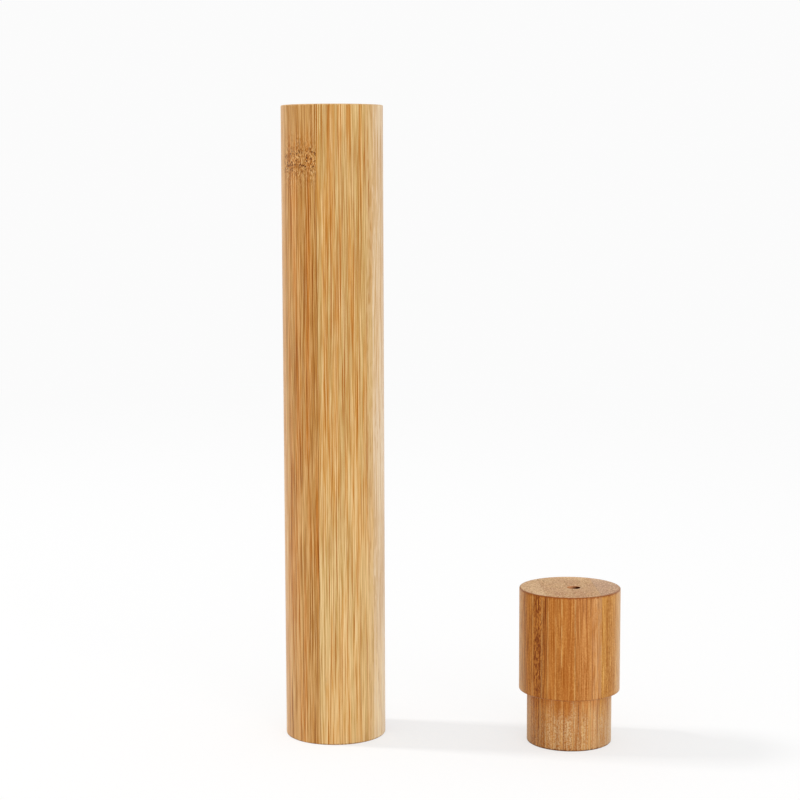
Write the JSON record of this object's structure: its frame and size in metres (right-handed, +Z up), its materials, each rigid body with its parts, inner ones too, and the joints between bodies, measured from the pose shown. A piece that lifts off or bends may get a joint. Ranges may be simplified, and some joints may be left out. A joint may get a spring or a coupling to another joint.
{
  "type": "travel toothbrush case",
  "caption": "Slim round bamboo tube that holds a toothbrush, with its vented bamboo cap taken off and stood on its plug beside it.",
  "frame": {"origin": "centre of the tube's foot, on the surface that the tube and the cap stand on", "axes": "+Z up along the tube, towards its mouth; -Y towards the front; the cap stands to the +X side"},
  "size_m": [0.0934, 0.037, 0.176],
  "materials": {
    "tube_bamboo_amber": "amber laminated bamboo, turned and sanded, thin satin oil",
    "tube_bamboo_straw": "straw-coloured laminated bamboo, turned and sanded, thin satin oil",
    "tube_bamboo_pale": "pale laminated bamboo, turned and sanded, thin satin oil",
    "cap_bamboo_chestnut": "chestnut carbonised bamboo, turned and sanded, thin satin oil",
    "cap_bamboo_honey": "honey-brown carbonised bamboo, turned and sanded, thin satin oil",
    "cap_bamboo_tan": "tan carbonised bamboo, turned and sanded, thin satin oil"
  },
  "bodies": {
    "tube": {"tube_front_left_strip": "tube_bamboo_amber", "tube_front_right_strip": "tube_bamboo_straw", "tube_mid_front_left_strip": "tube_bamboo_amber", "tube_mid_front_right_strip": "tube_bamboo_pale", "tube_mid_back_left_strip": "tube_bamboo_straw", "tube_mid_back_right_strip": "tube_bamboo_amber", "tube_back_strip": "tube_bamboo_straw"},
    "cap": {"cap_left_strip": "cap_bamboo_chestnut", "cap_mid_left_front_strip": "cap_bamboo_honey", "cap_mid_left_back_strip": "cap_bamboo_honey", "cap_mid_right_front_strip": "cap_bamboo_honey", "cap_mid_right_back_strip": "cap_bamboo_honey", "cap_right_strip": "cap_bamboo_tan"}
  },
  "joints": [
    {"name": "cap_lift", "type": "slide", "parent": "tube", "child": "cap", "axis": [0, 0, 1], "range_m": [0, 0.18]}
  ]
}
